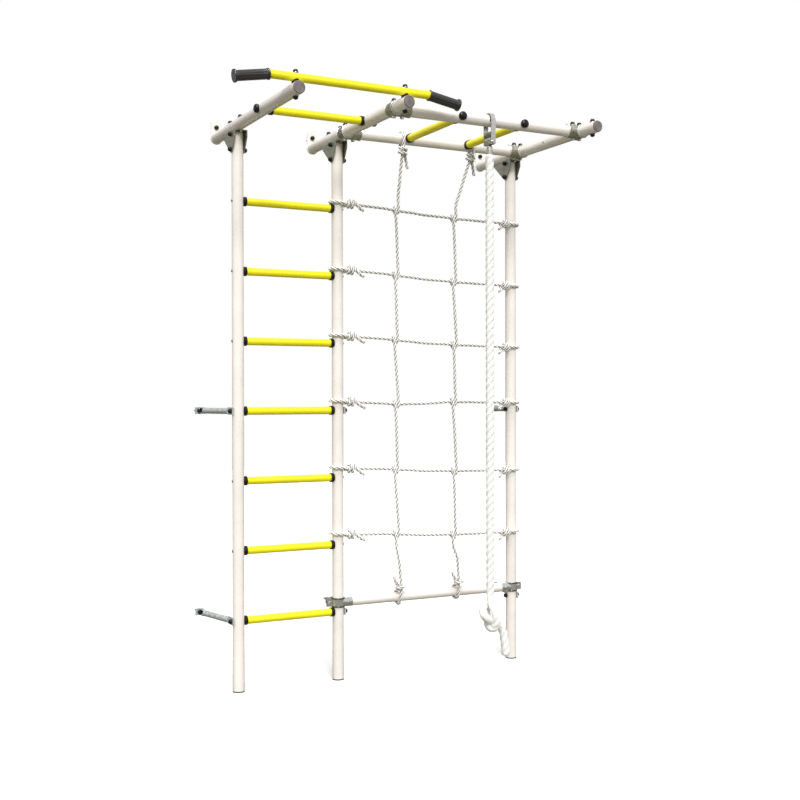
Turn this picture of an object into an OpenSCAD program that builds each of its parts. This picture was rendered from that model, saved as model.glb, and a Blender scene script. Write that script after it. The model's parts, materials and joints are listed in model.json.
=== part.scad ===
/* [Frame tubes] */
// Outside diameter of the posts, cantilevers and overhead rails
tube_d = 42; // [40:1:44]
// Wall thickness of every steel tube
wall = 2; // [1.5:0.5:3]
// Centre distance of the two ladder posts
ladder_w = 390; // [370:5:420]
// Centre distance of the ladder's inner post and the outer post
bay_w = 765; // [745:5:785]
// Height of the cantilever axis above the floor
head_z = 2023; // [2015:1:2035]
// How far the cantilevers reach out in front of the posts
front_reach = 575; // [570:1:590]
// Distance from the post axis to the wall
wall_gap = 240; // [230:5:260]
// Height of the joint between the post halves
seam_z = 967; // [960:1:972]

/* [Ladder] */
// Distance between rungs
rung_pitch = 250; // [248:1:252]
// Height of the lowest rung
bottom_rung_z = 253; // [250:1:256]
// Diameter of the coated rungs
rung_d = 28; // [26:1:29]

/* [Overhead bars] */
// Distance of the front rail in front of the posts
front_rail_out = 465; // [460:1:470]
// Distance of the rear rail in front of the posts
rear_rail_out = 74; // [72:1:76]
// Distance of the pull-up bar in front of the posts
pull_up_out = 545; // [540:1:550]
// Distance of the cross bar in front of the posts
cross_bar_out = 262; // [240:1:280]
// Diameter of the pull-up bar and the cross bar
bar_d = 28; // [27:1:29]
// Half of the pull-up bar's straight length
bar_straight = 280; // [270:1:290]
// Length of each hand grip
grip_len = 118; // [110:1:130]
// Angle by which the bar's ends droop
grip_droop = 10; // [6:1:14]

/* [Net and rope] */
// Diameter of the net's ropes
net_d = 13; // [12:0.5:13]
// Diameter of the climbing rope
rope_d = 30; // [28:1:32]
// Height of the lower rail that the net is tied to
bottom_rail_z = 288; // [285:1:292]
// Diameter of the lower rail
bottom_rail_d = 36; // [34:1:38]

/* [Hidden] */
$fn = 48;

tube_r = tube_d / 2;
bar_r = bar_d / 2;
rung_r = rung_d / 2;
net_r = net_d / 2;
rope_r = rope_d / 2;
low_r = bottom_rail_d / 2;

x_left = -ladder_w;
x_mid = 0;
x_right = bay_w;
posts = [x_left, x_mid, x_right];
front_rail_y = -front_rail_out;
rear_rail_y = -rear_rail_out;
pull_up_y = -pull_up_out;
cross_bar_y = -cross_bar_out;
rung_count = 7;
monkey_xs = [bay_w / 3, 2 * bay_w / 3];

// Sheet metal, gaps and bolts
sheet = 3;
gap = 0.15;
slack = 0.3;
bolt_r = 4;
hole_r = 4.3;
head_r = 6.5;
head_h = 5;
cap_r = 8.5;
cap_h = 12;
wide_cap_r = 15;
wide_cap_h = 14;

foot_h = 4;
post_top = head_z - tube_r - sheet - 2 * gap;
bracket_in = tube_r + slack;
bracket_out = bracket_in + sheet;
bracket_rear = 88;
bracket_front = -38;
drop_bolt_ys = [76, -30];
cross_bolt_zs = [head_z - 33, head_z - 87];
clamp_in = tube_r + gap;
clamp_out = clamp_in + sheet;
clamp_band = 46;
clamp_reach = 58;
clamp_bolt_off = 30;
rail_end = tube_r + 1.5;
tab_t = 5;
arm_splay = 69;
arm_r = 11;
wall_bolt_z = head_z + 40;
plate_t = 5;
plate_half = 20;
plate_top = head_z + 65;
anchor_depth = 45;
anchor_r = 3.75;
saddle_t = 3;
pull_up_z = head_z + tube_r + saddle_t + bar_r;
pull_up_x = (x_left + x_mid) / 2;
grip_t = 2.8;
grip_flange_r = 21;
collar_r = 17;
collar_h = 10;
plug_len = 24;

function rung_z(k) = bottom_rung_z + rung_pitch * (rung_count - k);
arm_zs = [rung_z(4), rung_z(7)];

// What stands at each end of a bolt: nothing, a bare nut, a pan head, or a head under a cap
NONE = 0;
NUT = 1;
PAN = 2;
CAPPED = 3;
WIDE = 4;

// A bolt is [axis, centre line point, low face, high face, low end, high end]
arm_out = bracket_in + tab_t;
function is_arm_rung(k) = k == 4 || k == 7;
ladder_bolt_list = [
    for (k = [1:rung_count])
        ["x", [0, 0, rung_z(k)], x_left - (is_arm_rung(k) ? arm_out : tube_r),
            x_left + tube_r + plug_len - 6, is_arm_rung(k) ? CAPPED : PAN, NONE],
    for (k = [1:rung_count])
        ["x", [0, 0, rung_z(k)], -tube_r - plug_len + 6,
            is_arm_rung(k) ? arm_out : tube_r, NONE, is_arm_rung(k) ? CAPPED : PAN],
    for (z = arm_zs)
        ["x", [0, 0, z], x_right - tube_r, x_right + arm_out, CAPPED, CAPPED]
];
head_bolt_list = [
    for (x = posts, z = cross_bolt_zs) ["x", [0, 0, z], x - bracket_out, x + bracket_out, CAPPED, CAPPED],
    for (x = posts, y = drop_bolt_ys) ["z", [x, y, 0], post_top, head_z + tube_r, NUT, CAPPED]
];
rail_ys = [front_rail_y, rear_rail_y];
function tee_bolts(x, y, s) = [
    for (off = [0, clamp_bolt_off])
        ["z", [x + s * off, y, 0], head_z - clamp_out, head_z + clamp_out, NUT, CAPPED]
];
collar_bolt_off = 36;
function collar_bolts(x, s) = [
    ["y", [x + s * collar_bolt_off, 0, bottom_rail_z], -low_r - gap - sheet, low_r + gap + sheet, PAN, NUT],
    ["y", [x - s * collar_bolt_off, 0, bottom_rail_z], -1 - sheet, 1 + sheet, PAN, NUT]
];
clamp_bolt_list = concat(
    [for (y = rail_ys) each tee_bolts(x_mid, y, 1)],
    [for (y = rail_ys) each tee_bolts(x_right, y, -1)],
    collar_bolts(x_mid, 1),
    collar_bolts(x_right, -1)
);
bar_bolt_list = [
    ["x", [0, cross_bar_y, head_z], x_left - tube_r, x_left + tube_r + plug_len - 6, WIDE, NONE],
    ["x", [0, cross_bar_y, head_z], x_mid - tube_r - plug_len + 6, x_mid + tube_r, NONE, WIDE],
    for (x = monkey_xs)
        ["y", [x, 0, head_z], front_rail_y - tube_r, front_rail_y + tube_r + plug_len - 6, WIDE, NONE],
    for (x = monkey_xs)
        ["y", [x, 0, head_z], rear_rail_y - tube_r - plug_len + 6, rear_rail_y + tube_r, NONE, CAPPED],
    for (x = [x_left, x_mid])
        ["z", [x, pull_up_y, 0], head_z - tube_r, pull_up_z + bar_r, CAPPED, CAPPED],
    ["z", [x_right, pull_up_y, 0], head_z - tube_r, head_z + tube_r, CAPPED, CAPPED]
];
arm_side = [-1, 1, 1];
anchor_list = [
    for (x = posts)
        ["y", [x, 0, wall_bolt_z], wall_gap - plate_t, wall_gap, CAPPED, NONE],
    for (i = [0:2], z = arm_zs)
        ["y", [posts[i] + arm_side[i] * arm_splay, 0, z], wall_gap - tab_t, wall_gap, CAPPED, NONE]
];
all_bolts = concat(ladder_bolt_list, head_bolt_list, clamp_bolt_list, bar_bolt_list, anchor_list);

// Routes of the ropes, as points on their centre lines; each turn round a tube is an arc of short steps
wrap = tube_r + net_r + 1.1;
low_wrap = low_r + net_r + 1.2;
row_z_mid = [1769, 1523, 1277, 1033, 785, 539];
row_z_right = [1744, 1497, 1252, 1030, 760, 512];
function turn_z(c, a1, a2, z1, z2, n) = [
    for (i = [0:n])
        let (a = a1 + (a2 - a1) * i / n)
        [c.x + wrap * cos(a), c.y + wrap * sin(a), z1 + (z2 - z1) * i / n]
];
function turn_x(c, r, a1, a2, x1, x2, n) = [
    for (i = [0:n])
        let (a = a1 + (a2 - a1) * i / n)
        [x1 + (x2 - x1) * i / n, c[0] + r * cos(a), c[1] + r * sin(a)]
];
// The turn round the middle post rises over the collar of the rung behind it
function mid_turn(z, lift) = [
    for (i = [0:10])
        let (t = i / 10, a = 282 * t - 12)
        [x_mid + wrap * cos(a), wrap * sin(a), z - 3 + 8 * t + lift * sin(180 * t)]
];
function row_route(z1, z2, lift) = concat(
    [[56, -12, z1 - 7], [42, -10, z1 - 6]],
    mid_turn(z1, lift),
    [[60, -wrap, z1 + 1], [140, -wrap, z1 - 2], [230, -wrap, z1 - 6], [350, -wrap, (z1 + z2) / 2 - 4],
        [481, -wrap, z2 + 5], [600, -wrap, z2 + 2], [700, -wrap, z2 + 1]],
    turn_z([x_right, 0], 270, 552, z2, z2 - 4, 10),
    [[x_right - 42, -10, z2 - 6], [x_right - 56, -12, z2 - 7]]
);
column_front = -wrap - net_d - 1;
rail_mid = [rear_rail_y, head_z];
low_mid = [0, bottom_rail_z];
left_column_route = concat(
    [[254, -63, 1925], [250, -54, 1965], [243, -46, 2000]],
    turn_x(rail_mid, wrap, 0, 180, 239, 226, 6),
    [[227, -99, 2000], [231, -86, 1970], [233, -66, 1890], [231, column_front, 1790],
        [230, column_front, 1640], [226, column_front, 1400], [230, column_front, 1270],
        [227, column_front, 1150], [229, column_front, 1000], [226, column_front, 800],
        [230, column_front, 660], [228, column_front, 500], [238, -38, 410], [248, -28, 330]],
    turn_x(low_mid, low_wrap, 180, 380, 250, 252, 7),
    [[250, 17, 310], [246, 4, 325], [238, -4, 345], [230, -8, 370]]
);
right_column_route = concat(
    [[546, -63, 1925], [544, -54, 1965], [541, -46, 2000]],
    turn_x(rail_mid, wrap, 0, 180, 540, 536, 6),
    [[534, -99, 2000], [527, -84, 1970], [506, -62, 1880], [486, column_front, 1790],
        [481, column_front, 1640], [484, column_front, 1400], [480, column_front, 1260],
        [483, column_front, 1130], [480, column_front, 1000], [483, column_front, 800],
        [479, column_front, 640], [481, column_front, 500], [494, -38, 410], [503, -28, 330]],
    turn_x(low_mid, low_wrap, 180, 380, 505, 507, 7),
    [[505, 17, 310], [501, 4, 325], [493, -4, 345], [485, -8, 370]]
);

// The hanger and the climbing rope hang from the front rail
hanger_x = 378;
rope_top = 1900;
knot_z = 270;
knot_r = 42;
rope_end = 309;
tail_tip = [58, 0, -130];
rope_route = [
    for (z = [rope_top, 1640, 1380, 1120, 860, 600, rope_end]) [hanger_x, front_rail_y, z]
];
strap_w = 18;
liner_in = tube_r + slack;
liner_out = liner_in + 1.5;
strap_in = liner_out + slack;
strap_out = strap_in + sheet;
strap_low = 1938;
hanger_bolt_z = 1946;
block_h = 16;
block_half = strap_in - slack;
spacer_z = 1975;
spacer_r = 9.5;
stem_r = 5.5;
stem_head_r = 8.5;
stem_head_z = strap_low + block_h + 0.3;

// Sweeps a round tube of radius r along the points of a route
function unit(v) = v / norm(v);
function heading(p, i) = unit(p[min(i + 1, len(p) - 1)] - p[max(i - 1, 0)]);
function carried(old, t) = unit(old - t * (old * t));
function frames(p, i, n) = i == len(p) ? [] :
    let (m = carried(n, heading(p, i)))
    concat([m], frames(p, i + 1, m));
function any_side(t) = abs(t.z) > 0.9 ? [1, 0.02, 0] : [0.02, 0.01, 1];
module swept_tube(p, r, sides) {
    count = len(p);
    ns = frames(p, 0, any_side(heading(p, 0)));
    rings = [
        for (i = [0:count - 1], j = [0:sides - 1])
            let (a = 360 * j / sides, t = heading(p, i))
            p[i] + r * (ns[i] * cos(a) + cross(t, ns[i]) * sin(a))
    ];
    skin = [
        for (i = [0:count - 2], j = [0:sides - 1])
            let (k = (j + 1) % sides)
            each [
                [i * sides + j, (i + 1) * sides + j, (i + 1) * sides + k],
                [i * sides + j, (i + 1) * sides + k, i * sides + k]
            ]
    ];
    start_cap = [[for (j = [0:sides - 1]) j]];
    end_cap = [[for (j = [0:sides - 1]) count * sides - 1 - j]];
    polyhedron(points = rings, faces = concat(skin, start_cap, end_cap));
}

module along(axis) {
    rotate(axis == "x" ? [0, 90, 0] : axis == "y" ? [-90, 0, 0] : [0, 0, 0])
        children();
}

// Places children at the low or the high face of a bolt, facing outwards
module at_low(b) {
    translate(b[1])
        along(b[0])
        translate([0, 0, b[2]])
        mirror([0, 0, 1])
        children();
}

module at_high(b) {
    translate(b[1])
        along(b[0])
        translate([0, 0, b[3]])
        children();
}

module bolt_end(kind) {
    if (kind >= CAPPED)
        cylinder(r = head_r, h = head_h);
    if (kind == NUT)
        cylinder(r = head_r + 1, h = 6.5, $fn = 6);
    if (kind == PAN)
        cylinder(r1 = 6, r2 = 4, h = 3);
}

module bolts(list) {
    for (b = list) {
        at_low(b) bolt_end(b[4]);
        at_low(b) translate([0, 0, b[2] - b[3]]) cylinder(r = bolt_r, h = b[3] - b[2]);
        at_high(b) bolt_end(b[5]);
    }
}

module bolt_holes(list) {
    for (b = list)
        at_low(b) translate([0, 0, b[2] - b[3] - 8]) cylinder(r = hole_r, h = b[3] - b[2] + 16);
}

// A domed cap of radius r and height h, hollowed for the bolt's head
module cap_shell(r, h) {
    inner = head_r + gap;
    rotate_extrude()
        polygon([[inner, 0.1], [r, 0.1], [r, 0.42 * h], [0.94 * r, 0.64 * h], [0.8 * r, 0.8 * h],
            [0.6 * r, 0.91 * h], [0.3 * r, 0.98 * h], [0, h], [0, head_h + gap], [inner, head_h + gap]]);
}

module end_cap(kind) {
    if (kind == CAPPED)
        cap_shell(cap_r, cap_h);
    if (kind == WIDE)
        cap_shell(wide_cap_r, wide_cap_h);
}

// A tube along an axis from low to high with its centre line through p
module tube(axis, p, low, high, r) {
    difference() {
        translate(p) along(axis) translate([0, 0, low]) cylinder(r = r, h = high - low);
        translate(p) along(axis) translate([0, 0, low - 1]) cylinder(r = r - wall, h = high - low + 2);
    }
}

function bolts_on_post(i) = concat(
    [for (b = ladder_bolt_list) if (i < 2 ? b[2] < posts[i] + 1 && b[3] > posts[i] - 1 : b[3] > x_mid + 200) b],
    [for (b = head_bolt_list) if (b[0] == "x" && b[2] < posts[i] && b[3] > posts[i]) b]
);

module post_lower(i) {
    difference() {
        tube("z", [posts[i], 0, 0], foot_h, seam_z, tube_r);
        bolt_holes(bolts_on_post(i));
    }
}

module post_upper(i) {
    difference() {
        tube("z", [posts[i], 0, 0], seam_z + 0.2, post_top - 1.5, tube_r);
        bolt_holes(bolts_on_post(i));
    }
}

module left_post_lower() { color("ivory") post_lower(0); }
module left_post_upper() { color("ivory") post_upper(0); }
module mid_post_lower() { color("ivory") post_lower(1); }
module mid_post_upper() { color("ivory") post_upper(1); }
module right_post_lower() { color("ivory") post_lower(2); }
module right_post_upper() { color("ivory") post_upper(2); }

module post_spigots() {
    color("gray")
        for (i = [0:2])
            difference() {
                tube("z", [posts[i], 0, 0], seam_z - 80, seam_z + 80, tube_r - wall - gap);
                bolt_holes(bolts_on_post(i));
            }
}

module plug_body(h) {
    cylinder(r = tube_r - wall - gap, h = h);
}

module foot_plugs() {
    color("dimgray")
        for (x = posts)
            translate([x, 0, 0])
            difference() {
                union() {
                    cylinder(r = tube_r + 0.5, h = foot_h - 0.1);
                    plug_body(30);
                }
                translate([0, 0, 8]) cylinder(r = tube_r - wall - 3, h = 30);
            }
}

module post_top_plugs() {
    color("dimgray")
        difference() {
            for (x = posts)
                translate([x, 0, post_top - 1.4]) {
                    cylinder(r = tube_r, h = 1.3);
                    translate([0, 0, -18]) plug_body(18);
                }
            bolt_holes([for (b = head_bolt_list) if (b[0] == "x") b]);
        }
}

module rung(k) {
    color("yellow")
        tube("x", [0, 0, rung_z(k)], x_left + tube_r + 4.2, x_mid - tube_r - 4.2, rung_r);
}

module rung_1() { rung(1); }
module rung_2() { rung(2); }
module rung_3() { rung(3); }
module rung_4() { rung(4); }
module rung_5() { rung(5); }
module rung_6() { rung(6); }
module rung_7() { rung(7); }

// A collar with an inner plug for the end of a tube of radius r; its foot is hollowed to sit on a round tube
module collar(r) {
    difference() {
        union() {
            translate([0, 0, -3]) cylinder(r = collar_r, h = collar_h + 3);
            cylinder(r = r - wall - gap, h = plug_len);
        }
        translate([0, 0, 3.9])
            difference() {
                cylinder(r = r + gap, h = plug_len);
                translate([0, 0, -1]) cylinder(r = r - wall - gap, h = plug_len + 2);
            }
        translate([0, 0, -4]) cylinder(r = bolt_r + 0.1, h = plug_len - 1.9);
        children();
    }
}

module saddle_cut(axis) {
    translate([0, 0, -tube_r - gap])
        along(axis)
        translate([0, 0, -collar_r - 5])
        cylinder(r = tube_r + gap + 0.1, h = 2 * collar_r + 10);
}

module rung_collars() {
    color("black")
        for (k = [1:rung_count]) {
            translate([x_left + tube_r + gap, 0, rung_z(k)])
                rotate([0, 90, 0])
                collar(rung_r)
                saddle_cut("x");
            translate([x_mid - tube_r - gap, 0, rung_z(k)])
                rotate([0, -90, 0])
                collar(rung_r)
                saddle_cut("x");
        }
}

function bolts_on_cantilever(i) = concat(
    [for (b = head_bolt_list) if (b[0] == "z" && b[1].x == posts[i]) b],
    [for (b = clamp_bolt_list) if (b[0] == "z" && b[1].x == posts[i]) b],
    [for (b = bar_bolt_list) if (b[0] == "z" && b[1].x == posts[i]) b],
    [for (b = bar_bolt_list) if (b[0] == "x" && b[2] < posts[i] && b[3] > posts[i]) b]
);

module cantilever(i) {
    color("ivory")
        difference() {
            tube("y", [posts[i], 0, head_z], -front_reach, wall_gap - plate_t - 0.1, tube_r);
            bolt_holes(bolts_on_cantilever(i));
            children();
        }
}

module left_cantilever() { cantilever(0); }
module mid_cantilever() { cantilever(1); }

// The outer cantilever is drilled for a cross bar too, and that hole stays empty
module right_cantilever() {
    cantilever(2)
        translate([x_right - tube_r - 5, cross_bar_y, head_z])
        rotate([0, 90, 0])
        cylinder(r = hole_r, h = 12);
}

module cantilever_end_caps() {
    color("rosybrown")
        for (x = posts)
            translate([x, -front_reach - 0.1, head_z])
            rotate([90, 0, 0])
            union() {
                cylinder(r1 = tube_r - 0.3, r2 = tube_r - 2, h = 3);
                translate([0, 0, -16]) cylinder(r = tube_r - wall - gap, h = 16);
            }
}

module wall_plates() {
    color("ivory")
        for (b = [for (c = anchor_list) if (c[1].z == wall_bolt_z) c])
            difference() {
                translate([b[1].x, wall_gap, 0])
                    rotate([90, 0, 0])
                    linear_extrude(plate_t)
                    union() {
                        translate([0, head_z]) circle(r = plate_half);
                        translate([-plate_half, head_z]) square([2 * plate_half, plate_top - head_z - 8]);
                        translate([-plate_half + 8, head_z]) square([2 * plate_half - 16, plate_top - head_z]);
                        for (s = [-1, 1])
                            translate([s * (plate_half - 8), plate_top - 8]) circle(r = 8);
                    }
                bolt_holes([b]);
            }
}

module bracket_web() {
    low = cross_bolt_zs[1];
    top = post_top + sheet;
    linear_extrude(sheet)
        union() {
            polygon([[bracket_front, top], [bracket_rear, top], [bracket_rear, top - 10],
                [12, low - 8], [-10, low - 9], [-27, low + 22], [bracket_front, top - 24]]);
            translate([0, low]) circle(r = 13);
        }
}

module head_bracket(i) {
    color("slategray")
        difference() {
            union() {
                translate([posts[i] - bracket_out, bracket_front, post_top])
                    cube([2 * bracket_out, bracket_rear - bracket_front, sheet]);
                for (x = [posts[i] - bracket_out, posts[i] + bracket_in])
                    translate([x, 0, 0])
                    rotate([90, 0, 90])
                    bracket_web();
            }
            bolt_holes([for (b = head_bolt_list) if (b[0] == "z" ? b[1].x == posts[i]
                : b[2] < posts[i] && b[3] > posts[i]) b]);
        }
}

module left_head_bracket() { head_bracket(0); }
module mid_head_bracket() { head_bracket(1); }
module right_head_bracket() { head_bracket(2); }

module cross_bar() {
    color("yellow")
        tube("x", [0, cross_bar_y, head_z], x_left + tube_r + 4.2, x_mid - tube_r - 4.2, bar_r);
}

module upper_rail(y) {
    color("ivory")
        difference() {
            tube("x", [0, y, head_z], x_mid + rail_end, x_right - rail_end, tube_r);
            bolt_holes([for (b = clamp_bolt_list) if (b[0] == "z" && b[1].y == y) b]);
            bolt_holes([for (b = bar_bolt_list) if (b[0] == "y" && b[2] < y && b[3] > y) b]);
        }
}

module front_rail() { upper_rail(front_rail_y); }
module rear_rail() { upper_rail(rear_rail_y); }

module bottom_rail() {
    color("ivory")
        difference() {
            tube("x", [0, 0, bottom_rail_z], x_mid + tube_r + 2, x_right - tube_r - 2, low_r);
            bolt_holes([for (b = clamp_bolt_list) if (b[0] == "y") b]);
        }
}

module monkey_rung(i) {
    color("yellow")
        tube("y", [monkey_xs[i], 0, head_z], front_rail_y + tube_r + 4.2, rear_rail_y - tube_r - 4.2, rung_r);
}

module left_monkey_rung() { monkey_rung(0); }
module right_monkey_rung() { monkey_rung(1); }

module bar_collars() {
    color("black") {
        translate([x_left + tube_r + gap, cross_bar_y, head_z])
            rotate([0, 90, 0])
            collar(bar_r)
            saddle_cut("y");
        translate([x_mid - tube_r - gap, cross_bar_y, head_z])
            rotate([0, -90, 0])
            collar(bar_r)
            saddle_cut("y");
        for (x = monkey_xs) {
            translate([x, front_rail_y + tube_r + gap, head_z])
                rotate([-90, 0, 0])
                collar(rung_r)
                saddle_cut("x");
            translate([x, rear_rail_y - tube_r - gap, head_z])
                rotate([90, 0, 0])
                collar(rung_r)
                saddle_cut("x");
        }
    }
}

// Two pressed halves that hold a rail's end against a cantilever
module tee_clamp(x, y, s) {
    color("darkkhaki")
        for (side = [-1, 1])
            translate([x, y, head_z])
            difference() {
                union() {
                    along("y") translate([0, 0, -clamp_band / 2]) cylinder(r = clamp_out, h = clamp_band);
                    rotate([0, 90 * s, 0]) cylinder(r = clamp_out, h = clamp_reach);
                }
                along("y") translate([0, 0, -clamp_band]) cylinder(r = clamp_in, h = 2 * clamp_band);
                rotate([0, 90 * s, 0]) cylinder(r = clamp_in, h = clamp_reach + 5);
                translate([-100, -100, side > 0 ? -99.2 : -0.8]) cube([200, 200, 100]);
                for (off = [0, clamp_bolt_off])
                    translate([s * off, 0, -60]) cylinder(r = hole_r, h = 120);
            }
}

module mid_front_clamp() { tee_clamp(x_mid, front_rail_y, 1); }
module mid_rear_clamp() { tee_clamp(x_mid, rear_rail_y, 1); }
module right_front_clamp() { tee_clamp(x_right, front_rail_y, -1); }
module right_rear_clamp() { tee_clamp(x_right, rear_rail_y, -1); }

// Front and back halves that hold the lower rail's end against a post
module collar_clamp(x, s) {
    color("silver")
        for (side = [-1, 1])
            translate([x, 0, bottom_rail_z])
            difference() {
                union() {
                    translate([0, 0, -low_r + 2]) cylinder(r = clamp_out, h = 2 * low_r - 4);
                    intersection() {
                        rotate([0, 90 * s, 0]) cylinder(r = low_r + gap + sheet, h = clamp_reach - 6);
                        translate([-100, -50, -low_r + 2]) cube([200, 100, 2 * low_r - 4]);
                    }
                    translate([s > 0 ? -46 : 20, -1 - sheet, -low_r + 4])
                        cube([26, 2 + 2 * sheet, 2 * low_r - 8]);
                }
                translate([0, 0, -50]) cylinder(r = clamp_in, h = 100);
                rotate([0, 90 * s, 0]) cylinder(r = low_r + gap, h = clamp_reach);
                translate([-100, side > 0 ? -99 : -1, -50]) cube([200, 100, 100]);
                for (off = [-1, 1])
                    translate([off * collar_bolt_off, -60, 0]) rotate([-90, 0, 0]) cylinder(r = hole_r, h = 120);
            }
}

module mid_collar_clamp() { collar_clamp(x_mid, 1); }
module right_collar_clamp() { collar_clamp(x_right, -1); }

// Places children at an end of the straight part of the pull-up bar, with +Z along the drooping end
module at_bar_end(s) {
    translate([pull_up_x + s * bar_straight, pull_up_y, pull_up_z])
        rotate([0, s * (90 + grip_droop), 0])
        children();
}

module bar_form(r, extra) {
    translate([pull_up_x - bar_straight, pull_up_y, pull_up_z])
        rotate([0, 90, 0])
        cylinder(r = r, h = 2 * bar_straight);
    for (s = [-1, 1])
        at_bar_end(s)
            union() {
                sphere(r = r);
                cylinder(r = r, h = grip_len + extra);
            }
}

module pull_up_bar() {
    color("yellow")
        difference() {
            bar_form(bar_r, 0);
            bar_form(bar_r - wall, 2);
            bolt_holes([for (b = bar_bolt_list) if (b[0] == "z" && b[1].x <= x_mid) b]);
        }
}

module grip(s) {
    color("black")
        at_bar_end(s)
            translate([0, 0, 4])
            difference() {
                union() {
                    cylinder(r = bar_r + grip_t, h = grip_len);
                    cylinder(r = bar_r + grip_t + 1.5, h = 7);
                    translate([0, 0, grip_len - 6]) cylinder(r = grip_flange_r, h = 6);
                }
                translate([0, 0, -1]) cylinder(r = bar_r + gap, h = grip_len - 2.5);
            }
}

module left_grip() { grip(-1); }
module right_grip() { grip(1); }

module bar_saddles() {
    color("black")
        for (x = [x_left, x_mid])
            difference() {
                translate([x, pull_up_y, head_z + tube_r - 4]) cylinder(r = 13, h = 14);
                translate([x, 0, head_z]) rotate([90, 0, 0]) cylinder(r = tube_r + gap, h = 700);
                translate([x - 50, pull_up_y, pull_up_z]) rotate([0, 90, 0]) cylinder(r = bar_r + gap, h = 100);
                translate([x, pull_up_y, head_z]) cylinder(r = hole_r, h = 60);
            }
}

// A tube with flattened ends: one bolted to the side of a post, the other flat on the wall
module wall_arm(i, z) {
    s = arm_side[i];
    start = [s * (bracket_in + tab_t / 2), 30, 0];
    finish = [s * (arm_splay - 6), wall_gap - 28, 0];
    run = finish - start;
    translate([posts[i], 0, z])
        difference() {
            union() {
                translate([s > 0 ? bracket_in : -bracket_in - tab_t, -14, -13]) cube([tab_t, 52, 26]);
                translate(start)
                    rotate([-90, 0, -atan2(run.x, run.y)])
                    cylinder(r = arm_r, h = norm(run));
                translate([s * arm_splay - 15, wall_gap - tab_t, -13]) cube([30, tab_t, 26]);
                translate([s * (arm_splay - 6) - 5, wall_gap - 40, -12]) cube([tab_t * 2, 39, 24]);
            }
            translate([s > 0 ? -100 + bracket_in : -bracket_in, -100, -50]) cube([100, 200, 100]);
            translate([s * arm_splay - 60, wall_gap, -50]) cube([120, 50, 100]);
            translate([-60, 0, 0]) rotate([0, 90, 0]) cylinder(r = hole_r, h = 120);
            translate([s * arm_splay, wall_gap - 12, 0]) rotate([-90, 0, 0]) cylinder(r = hole_r, h = 30);
            translate([s * arm_splay, wall_gap - 45, 0]) rotate([-90, 0, 0]) cylinder(r = cap_r + 1, h = 45 - tab_t);
        }
}

module upper_wall_arms() {
    color("lightslategray")
        for (i = [0:2])
            wall_arm(i, arm_zs[0]);
}

module lower_wall_arms() {
    color("lightslategray")
        for (i = [0:2])
            wall_arm(i, arm_zs[1]);
}

module ladder_bolts() { color("dimgray") bolts(ladder_bolt_list); }
module head_bolts() { color("dimgray") bolts(head_bolt_list); }
module clamp_bolts() { color("silver") bolts(clamp_bolt_list); }
module bar_bolts() { color("dimgray") bolts(bar_bolt_list); }

module wall_anchors() {
    color("dimgray") {
        bolts(anchor_list);
        for (b = anchor_list)
            at_high(b) cylinder(r = anchor_r, h = anchor_depth);
    }
}

module bolt_caps() {
    color("black")
        for (b = all_bolts) {
            at_low(b) end_cap(b[4]);
            at_high(b) end_cap(b[5]);
        }
}

module net_rows() {
    color("linen")
        for (k = [0:5])
            swept_tube(row_route(row_z_mid[k], row_z_right[k], k == 0 ? 9 : 5), net_r, 8);
}

module net_left_column() { color("linen") swept_tube(left_column_route, net_r, 8); }
module net_right_column() { color("linen") swept_tube(right_column_route, net_r, 8); }

module at_hanger() {
    translate([hanger_x, front_rail_y, 0]) children();
}

// A hook form round the rail: a half ring over it and two straight legs down to a given height
module hook_band(r, w, low) {
    union() {
        translate([-w / 2, 0, head_z]) rotate([0, 90, 0]) cylinder(r = r, h = w);
        translate([-w / 2, -r, low]) cube([w, 2 * r, head_z - low]);
    }
}

module hanger_liner() {
    color("black")
        at_hanger()
            difference() {
                translate([-strap_w / 2 - 2, 0, head_z]) rotate([0, 90, 0]) cylinder(r = liner_out, h = strap_w + 4);
                translate([-strap_w, 0, head_z]) rotate([0, 90, 0]) cylinder(r = liner_in, h = 2 * strap_w);
                translate([-strap_w, -50, head_z - 106]) cube([2 * strap_w, 100, 100]);
            }
}

module hanger_strap() {
    color("silver")
        at_hanger()
            difference() {
                hook_band(strap_out, strap_w, strap_low);
                hook_band(strap_in, strap_w + 2, strap_low - 5);
                for (z = [hanger_bolt_z, spacer_z])
                    translate([0, -50, z]) rotate([-90, 0, 0]) cylinder(r = hole_r, h = 100);
            }
}

// Two bolts hold the legs to the block, and a rivet through both legs carries the spacer
module hanger_bolts() {
    color("silver")
        at_hanger()
            union() {
                for (s = [-1, 1])
                    translate([0, s * (block_half - 7), hanger_bolt_z])
                        rotate([-90 * s, 0, 0])
                        union() {
                            cylinder(r = bolt_r, h = 7 + slack + sheet + 0.5);
                            translate([0, 0, 7 + slack + sheet + 0.1]) cylinder(r = head_r, h = head_h);
                        }
                translate([0, -strap_out, spacer_z]) rotate([-90, 0, 0]) cylinder(r = bolt_r, h = 2 * strap_out);
            }
}

// The block that the swivel stem turns in, and the spacer sleeve above it
module swivel_housing() {
    color("dimgray")
        at_hanger() {
            difference() {
                translate([-strap_w / 2, -block_half, strap_low]) cube([strap_w, 2 * block_half, block_h]);
                translate([0, 0, strap_low - 5]) cylinder(r = stem_r + 0.05, h = block_h + 10);
                for (s = [-1, 1])
                    translate([0, s * (block_half - 7.2), hanger_bolt_z])
                        rotate([-90 * s, 0, 0])
                        cylinder(r = bolt_r + 0.1, h = 20);
            }
            translate([0, 0, spacer_z])
                rotate([90, 0, 0])
                difference() {
                    translate([0, 0, -block_half]) cylinder(r = spacer_r, h = 2 * block_half);
                    translate([0, 0, -block_half - 1]) cylinder(r = bolt_r + 0.1, h = 2 * block_half + 2);
                }
        }
}

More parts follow.
